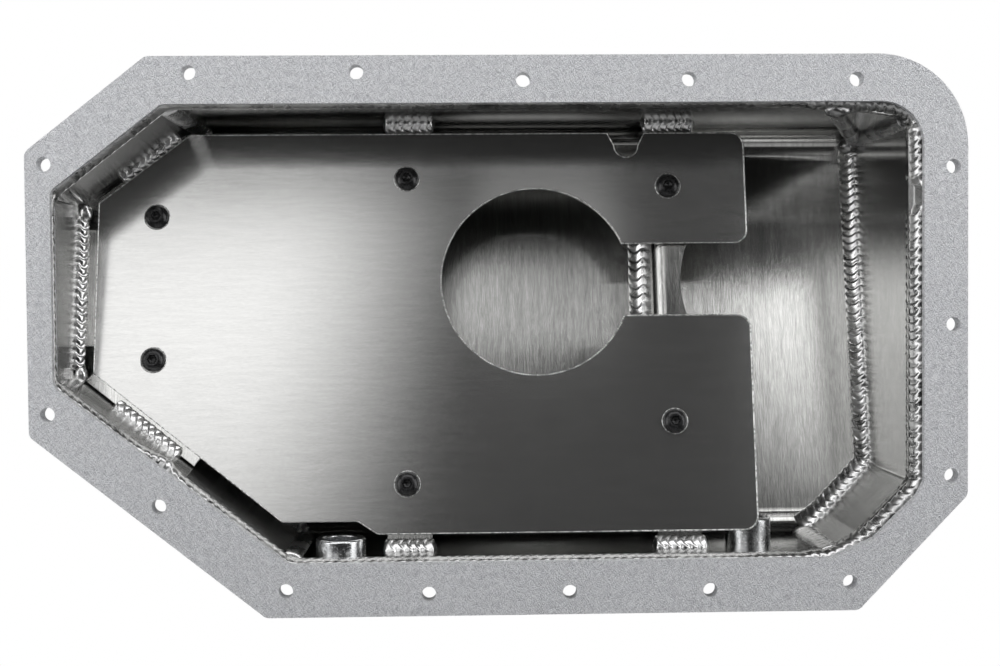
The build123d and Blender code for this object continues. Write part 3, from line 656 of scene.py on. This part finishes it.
def foot_rails(path, leg, step):
    """Rails of a bead between the end walls and the floor, along a plan path on the walls' inner faces."""
    spots, step = resample([Vector((x, y, 0)) for x, y in path], step)
    low, high = [], []
    count = len(spots)
    for i, spot in enumerate(spots):
        inward = left_of((spots[min(i + 3, count - 1)] - spots[max(i - 3, 0)]).normalized())
        floor = hit(spot + inward * leg + SEARCH_FROM, DOWN, SEARCH_REACH)
        corner = hit(spot + inward * 0.4 + SEARCH_FROM, DOWN, SEARCH_REACH)
        if floor is None or corner is None:
            floor, corner = low[-1], high[-1] - Vector((0, 0, leg))
        low.append(floor - SINK)
        high.append(corner - inward * 0.5 + Vector((0, 0, leg)))

    # Each height gives way to the middle one of its neighbours, which takes out stray hits
    for rail in (low, high):
        levels = [p.z for p in rail]
        for i, p in enumerate(rail):
            near = sorted(levels[max(0, i - 20):i + 21])
            p.z = near[len(near) // 2]
    return smooth(low, 3, False), smooth(high, 3, False), step


def upright_rails(corner, first, second, leg, foot, step):
    """Rails of a bead in the corner between two upright faces that run off along two plan directions."""
    spots, step = resample([Vector((*corner, JOINT_TOP)), Vector((*corner, foot))], step)
    a = Vector((*first, 0)).normalized() * leg
    b = Vector((*second, 0)).normalized() * leg
    return [s + a for s in spots], [s + b for s in spots], step


def baffle_rails():
    """Rails of the bead at the left foot of the baffle."""
    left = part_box("sump_baffle")[0].x / MM
    half_length, leg_out, leg_up = 92.0, 7.2, 7.0
    spots, step = resample([Vector((left, -half_length, 0)), Vector((left, half_length, 0))], 0.35)
    low, high = [], []
    for spot in spots:
        floor = hit(spot + Vector((-leg_out, 0, 0)) + SEARCH_FROM, DOWN, SEARCH_REACH)
        low.append(floor - SINK)
        high.append(Vector((spot.x + 0.3, spot.y, floor.z + leg_up)))
    return low, high, step


def support_rails(first, last, leg):
    """Rails of a bead on the top face of a bracket or ledge, along the wall between two plan points."""
    spots, step = resample([Vector((*first, 0)), Vector((*last, 0))], 0.35)
    inward = left_of((spots[-1] - spots[0]).normalized())
    if inward.dot(spots[0]) > 0:
        inward = -inward
    low, high = [], []
    for spot in spots:
        on_plate = spot + inward * leg
        low.append(Vector((on_plate.x, on_plate.y, tray_height(on_plate.y, TRAY_THICKNESS) - 0.3)))
        level = tray_height(spot.y, TRAY_THICKNESS) + leg
        high.append(Vector((spot.x, spot.y, level)) - inward * 0.3)
    return low, high, step


def stretch(start, end, first, last):
    """The part of a plan line from one distance to another from its start."""
    start = Vector(start)
    direction = (Vector(end) - start).normalized()
    return tuple(start + direction * first), tuple(start + direction * last)


def ring_faces(rows, sides, closed=False):
    """Faces between rows of points that go round, and from the last row to the first where closed."""
    faces = []
    for i in range(rows if closed else rows - 1):
        here, there = i * sides, (i + 1) % rows * sides
        for j in range(sides):
            k = (j + 1) % sides
            faces.append((here + j, there + j, there + k, here + k))
    return faces


def lump(centre, radii, rings=14, sides=24):
    """Lump of weld metal with shallow ripples, where two beads meet."""
    verts = []
    for i in range(rings + 1):
        tip = math.pi * i / rings
        for j in range(sides):
            turn = 2 * math.pi * j / sides
            way = Vector((math.sin(tip) * math.cos(turn), math.sin(tip) * math.sin(turn), math.cos(tip)))
            uneven = 0.10 * noise.noise(way * 1.7 + Vector(centre))
            rippled = 0.05 * ripple(way.x * 2.5 + way.y)
            reach = Vector((way.x * radii[0], way.y * radii[1], way.z * radii[2]))
            verts.append(Vector(centre) + reach * (1.0 + uneven + rippled))
    return verts, ring_faces(rings + 1, sides)


def tube(path, radii, sides=8):
    """Round tube along a closed path that lies in the tray's plane."""
    count = len(path)
    verts = []
    for i, spot in enumerate(path):
        run = (path[(i + 1) % count] - path[i - 1]).normalized()
        side = TRAY_NORMAL.cross(run)
        for j in range(sides):
            angle = 2 * math.pi * j / sides
            verts.append(spot + (side * math.cos(angle) + TRAY_NORMAL * math.sin(angle)) * radii[i])
    return verts, ring_faces(count, sides, True)


def circle_on_tray(middle, radii, height):
    """Points round a place on the tray at a height above it, one for each radius."""
    points = []
    for k, radius in enumerate(radii):
        a = 2 * math.pi * k / len(radii)
        way = TRAY_U * math.cos(a) + TRAY_V * math.sin(a)
        points.append(middle + way * radius + TRAY_NORMAL * height)
    return points


def screw_head(foot):
    """Round button head with its hex socket, laid closely over a screw."""
    verts = []
    for radius, height in HEAD:
        verts += circle_on_tray(foot, [radius] * SCREW_SIDES, height)
    turns = [2 * math.pi * k / SCREW_SIDES for k in range(SCREW_SIDES)]
    for flat, height in SOCKET:
        radii = [flat / math.cos(turn % (math.pi / 3) - math.pi / 6) for turn in turns]
        verts += circle_on_tray(foot, radii, height)
    faces = ring_faces(len(HEAD) + len(SOCKET), SCREW_SIDES)
    return verts, [(a, d, c, b) for a, b, c, d in faces]


def screw_feet():
    """The middle of each screw's head, on the tray's top face."""
    mesh = nodes["tray_screws"].data
    groups = []
    for polygon in mesh.polygons:
        centre = polygon.center / MM
        if polygon.normal.dot(TRAY_NORMAL) > 0.999:
            if all((centre - group[0]).length > SCREW_SPACING for group in groups):
                groups.append([centre])
    for vertex in mesh.vertices:
        place = vertex.co / MM
        min(groups, key=lambda group: (group[0] - place).length).append(place)
    level = Vector((0, 0, TRAY_LEVEL)).dot(TRAY_NORMAL)
    feet = []
    for group in groups:
        along_u = [p.x for p in group[1:]]
        along_v = [p.dot(TRAY_V) for p in group[1:]]
        middle_u = (min(along_u) + max(along_u)) / 2
        middle_v = (min(along_v) + max(along_v)) / 2
        feet.append(TRAY_U * middle_u + TRAY_V * middle_v + TRAY_NORMAL * level)
    return feet


def burr():
    """Fine bright burr along the tray's edge, toothed round the pickup hole."""
    rim, _ = resample(tray_rim(), 0.3, True)
    middle = Vector((*PICKUP_HOLE, tray_height(PICKUP_HOLE[1])))
    radii = []
    for i, place in enumerate(rim):
        lower_right = place.x > LOWER_RIGHT[0] and place.y < LOWER_RIGHT[1]
        if abs((place - middle).length - PICKUP_RADIUS) < TOOTH_REACH:
            radii.append(TOOTH_HIGH if i % 4 < 2 else TOOTH_LOW)
        else:
            radii.append(BURR_WIDE if lower_right or place.x > RIGHT_END_X else BURR)
    return tube(rim, radii)


def join(shapes):
    verts, faces = [], []
    for shape_verts, shape_faces in shapes:
        start = len(verts)
        verts += shape_verts
        faces += [tuple(start + i for i in face) for face in shape_faces]
    return verts, faces


def make_mesh(name, shape, material, node=None):
    """One smooth visual piece, which takes the place of a CAD node where one is named."""
    verts, faces = shape
    mesh = bpy.data.meshes.new(name)
    mesh.from_pydata([v * MM for v in verts], [], faces)
    mesh.materials.append(material)
    mesh.polygons.foreach_set("use_smooth", [True] * len(mesh.polygons))
    mesh.update()
    piece = bpy.data.objects.new(name, mesh)
    bpy.context.scene.collection.objects.link(piece)
    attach(piece, "root")
    if node:
        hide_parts(node)


# The pieces. Each bead draws its own random numbers, so their order matters.

make_mesh("flange_bead", flange_weld(), WELD_GREY, "flange_weld")

feet = screw_feet()
circles = [circle_on_tray(foot, [RING_RADIUS] * SCREW_SIDES, RING_HEIGHT) for foot in feet]
rings = join([tube(circle, [RING_THICKNESS] * SCREW_SIDES) for circle in circles])
make_mesh("screw_rings", rings, EDGE, None)
make_mesh("screw_heads", join([screw_head(foot) for foot in feet]), SCREW, None)
make_mesh("tray_burr", burr(), EDGE, None)

# Right end: the foot of the wall round both folds, the joint to the front wall, and the lumps
right_path = [FRONT_RIGHT_JOINT, RIGHT_LOW_FOLD, RIGHT_FOLD, (PANEL_END[0], PANEL_END[1] - 1)]
right_diagonal = Vector(RIGHT_LOW_FOLD) - Vector(FRONT_RIGHT_JOINT)
right_foot = open_bead(
    foot_rails(right_path, leg=6.8, step=0.35), RIGHT_CENTRE,
    pitch=4.3, height=0.45, depth=0.75, across=14, lag=0.8, wobble=0.6
)
right_joint = open_bead(
    upright_rails(FRONT_RIGHT_JOINT, (-1, 0), right_diagonal, leg=5.5, foot=-73.0, step=0.35),
    RIGHT_CENTRE, pitch=2.6, height=0.5, depth=0.4
)
make_mesh("right_end_bead", right_foot, WELD, "right_end_weld")
make_mesh("right_joint_bead", right_joint, WELD_GREY)
make_mesh("corner_lumps", join([lump(*place) for place in CORNER_LUMPS]), WELD_DARK)

# Left end: both upright joints and the foot of the wall
front_diagonal = Vector(LEFT_LOW_FOLD) - Vector(FRONT_LEFT_JOINT)
rear_diagonal = Vector(LEFT_HIGH_FOLD) - Vector(REAR_LEFT_JOINT)
left_path = [REAR_LEFT_JOINT, LEFT_HIGH_FOLD, LEFT_LOW_FOLD, FRONT_LEFT_JOINT]
front_rails = upright_rails(FRONT_LEFT_JOINT, (1, 0), front_diagonal, leg=4.6, foot=-75.0, step=0.4)
rear_rails = upright_rails(REAR_LEFT_JOINT, (1, 0), rear_diagonal, leg=4.6, foot=-105.0, step=0.4)
left_rails = foot_rails(left_path, leg=4.6, step=0.45)
left_beads = [
    open_bead(rails, LEFT_CENTRE, pitch, height=0.4, depth=0.5)
    for rails, pitch in ((front_rails, 3.6), (rear_rails, 3.6), (left_rails, 3.8))
]
make_mesh("left_end_bead", join(left_beads), WELD, "left_end_weld")

baffle_foot = open_bead(
    baffle_rails(), LOW_CENTRE, pitch=4.9, height=0.35, depth=0.75, across=14, lag=0.75, wobble=0.4
)
make_mesh("baffle_bead", baffle_foot, WELD, "baffle_weld")

# Brackets and ledges: where each bead starts and ends, and its leg
bracket_x = ((-60.5, -32.5), (76.0, 105.0))
support_runs = [((first, y), (last, y), 5.4) for first, last in bracket_x for y in (REAR_Y, FRONT_Y)]
support_runs += [
    ((LEFT_LOW_FOLD[0], -18.0), (LEFT_LOW_FOLD[0], 66.0), 4.4),
    (*stretch(LEFT_HIGH_FOLD, REAR_LEFT_JOINT, 24.0, 63.0), 4.2),
    (*stretch(LEFT_LOW_FOLD, FRONT_LEFT_JOINT, 24.0, 68.0), 4.6),
]
supports = [
    open_bead(support_rails(*run), TOP_CENTRE, pitch=4.1, height=0.5, depth=1.0, wobble=0.5)
    for run in support_runs
]
supports += [lump(*place) for place in LEDGE_LUMPS]
make_mesh("support_beads", join(supports), WELD, "support_welds")


# Studio, in metres. The soft lights shape what the metal mirrors, so each has its own fades.

SOFTBOX_HEIGHT = 1.0
SKEW_MIDDLE_Y = 0.35
FLOOR_HEIGHT = -0.135
FLOOR_REACH = 3.0


def fade(tree, value, zero, one):
    """Smooth step from 0 to 1 between two places."""
    node = tree.nodes.new("ShaderNodeMapRange")
    node.interpolation_type = "SMOOTHSTEP"
    rising = one > zero
    node.inputs["From Min"].default_value = zero if rising else one
    node.inputs["From Max"].default_value = one if rising else zero
    node.inputs["To Min"].default_value = 0.0 if rising else 1.0
    node.inputs["To Max"].default_value = 1.0 if rising else 0.0
    tree.links.new(value, node.inputs["Value"])
    return node.outputs[0]


def rectangle_light(name, width, tall, radiance):
    light = bpy.data.lights.new(name, "AREA")
    light.shape = "RECTANGLE"
    light.size, light.size_y = width, tall
    light.energy = radiance * math.pi * width * tall
    lamp = bpy.data.objects.new(name, light)
    bpy.context.scene.collection.objects.link(lamp)
    return light, lamp


def softbox(name, across, along, radiance, skew=0.0):
    """Light facing down whose brightness fades at its borders.

    Each range lists where it starts, is full, is full no more and ends, across in X and along in
    Y. The skew shifts the range in X with Y.
    """
    left, full_left, full_right, right = across
    low, full_low, full_high, high = along
    light, lamp = rectangle_light(name, right - left, high - low, radiance)
    light.use_nodes = True
    tree = light.node_tree
    place = tree.nodes.new("ShaderNodeSeparateXYZ")
    tree.links.new(tree.nodes.new("ShaderNodeNewGeometry").outputs["Position"], place.inputs[0])
    x, y = place.outputs[0], place.outputs[1]
    if skew:
        x = combine(tree, x, combine(tree, combine(tree, y, -SKEW_MIDDLE_Y), -skew, "MULTIPLY"))
    share = combine(tree, fade(tree, x, left, full_left), fade(tree, x, right, full_right), "MULTIPLY")
    share = combine(tree, share, fade(tree, y, low, full_low), "MULTIPLY")
    share = combine(tree, share, fade(tree, y, high, full_high), "MULTIPLY")
    tree.links.new(share, tree.nodes["Emission"].inputs["Strength"])
    lamp.location = ((left + right) / 2, (low + high) / 2, SOFTBOX_HEIGHT)


def side_panel(name, place, width, tall, radiance):
    """Upright rectangular light that faces the pan."""
    lamp = rectangle_light(name, width, tall, radiance)[1]
    lamp.location = place
    lamp.rotation_euler = Vector(place).to_track_quat("Z", "Y").to_euler()


softbox("softbox_left", (-0.66, -0.60, -0.31, 0.0), (-0.32, 0.41, 0.54, 0.58), 1.56, 0.22)
softbox("softbox_right", (0.40, 0.46, 1.50, 1.80), (0.08, 0.51, 0.515, 0.535), 2.65)
softbox("softbox_middle", (-0.10, -0.03, 0.15, 0.22), (0.40, 0.44, 0.54, 0.58), 0.62)
softbox("softbox_tray_rear", (0.19, 0.22, 0.34, 0.37), (0.50, 0.58, 0.70, 0.76), 0.08)
softbox("overhead_left", (-1.60, -1.30, -0.90, -0.74), (-0.40, -0.10, 0.60, 0.90), 1.6)
softbox("overhead_front", (-1.40, -1.20, 0.50, 0.70), (-1.50, -1.30, -0.80, -0.60), 0.5)
softbox("overhead_rear_left", (-1.30, -1.10, -0.75, -0.62), (0.62, 0.75, 1.30, 1.50), 3.2)
softbox("overhead_rear_right", (0.62, 0.75, 1.20, 1.40), (0.70, 0.80, 1.30, 1.50), 3.6)
softbox("overhead_rear", (-0.60, -0.50, 0.40, 0.50), (0.86, 0.92, 1.30, 1.50), 0.7)
side_panel("panel_left", (-2.2, 0.2, 1.0), 2.4, 1.1, 2.2)
side_panel("panel_right", (2.2, 0.3, 1.0), 2.4, 1.1, 2.6)
side_panel("panel_rear", (0.0, 2.2, 0.9), 3.0, 1.0, 2.4)
side_panel("panel_front", (0.0, -2.3, 0.9), 3.0, 0.9, 0.5)

# A plain paper floor, which the camera sees as white however it is lit
floor_mesh = bpy.data.meshes.new("floor")
corners = ((-FLOOR_REACH, -FLOOR_REACH), (FLOOR_REACH, -FLOOR_REACH), (FLOOR_REACH, FLOOR_REACH),
           (-FLOOR_REACH, FLOOR_REACH))
floor_mesh.from_pydata([(x, y, FLOOR_HEIGHT) for x, y in corners], [], [(0, 1, 2, 3)])
floor = bpy.data.objects.new("floor", floor_mesh)
bpy.context.scene.collection.objects.link(floor)
paper, tree, shader = new_material("paper")
fibres = remap(tree, noise_at(tree, object_coordinates(tree), (300, 300, 300)), 0, 1)
tree.links.new(tint(tree, fibres, (0.80, 0.80, 0.80), (0.84, 0.84, 0.84)), shader.inputs["Base Color"])
shader.inputs["Roughness"].default_value = 0.9
glow = tree.nodes.new("ShaderNodeEmission")
glow.inputs["Strength"].default_value = 1.0
light_path = tree.nodes.new("ShaderNodeLightPath")
mix = tree.nodes.new("ShaderNodeMixShader")
tree.links.new(light_path.outputs["Is Camera Ray"], mix.inputs[0])
tree.links.new(shader.outputs[0], mix.inputs[1])
tree.links.new(glow.outputs[0], mix.inputs[2])
output = next(n for n in tree.nodes if n.type == "OUTPUT_MATERIAL")
tree.links.new(mix.outputs[0], output.inputs[0])
floor_mesh.materials.append(paper)
floor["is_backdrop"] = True

world = bpy.data.worlds.new("studio")
bpy.context.scene.world = world
world.use_nodes = True
background = world.node_tree.nodes["Background"]
background.inputs["Color"].default_value = (1, 1, 1, 1)
background.inputs["Strength"].default_value = 0.015


# Camera, solved from the flange's outline in the photo. The nadir is the pixel straight below it.

PHOTO_WIDTH = 1000.0
PHOTO_MIDDLE = (500, 333)
FOCAL_PIXELS = 1345.0
NADIR = (466.0, 297.0)
ROLL = math.radians(-0.46)
SENSOR_WIDTH = 36.0
CAMERA_PLACE = Vector((-0.0171, 0.0192, 0.6496))

nadir_x, nadir_y = [(pixel - middle) / FOCAL_PIXELS for pixel, middle in zip(NADIR, PHOTO_MIDDLE)]
z_axis = -Vector((nadir_x, nadir_y, 1.0)).normalized()
x_axis = Vector((math.cos(ROLL), math.sin(ROLL), 0.0))
x_axis = (x_axis - z_axis * x_axis.dot(z_axis)).normalized()
y_axis = z_axis.cross(x_axis)
right, down, forward = Matrix((x_axis, y_axis, z_axis)).transposed()
camera_data = bpy.data.cameras.new("camera")
camera_data.sensor_width = SENSOR_WIDTH
camera_data.lens = SENSOR_WIDTH * FOCAL_PIXELS / PHOTO_WIDTH
camera = bpy.data.objects.new("camera", camera_data)
rotation = Matrix((right, -down, -forward)).transposed()
camera.matrix_world = Matrix.Translation(CAMERA_PLACE) @ rotation.to_4x4()
bpy.context.scene.collection.objects.link(camera)
bpy.context.scene.camera = camera
bpy.context.scene.view_settings.view_transform = "Standard"

size_lines += [f"visual {[round(v, 5) for v in corner]}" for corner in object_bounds()]
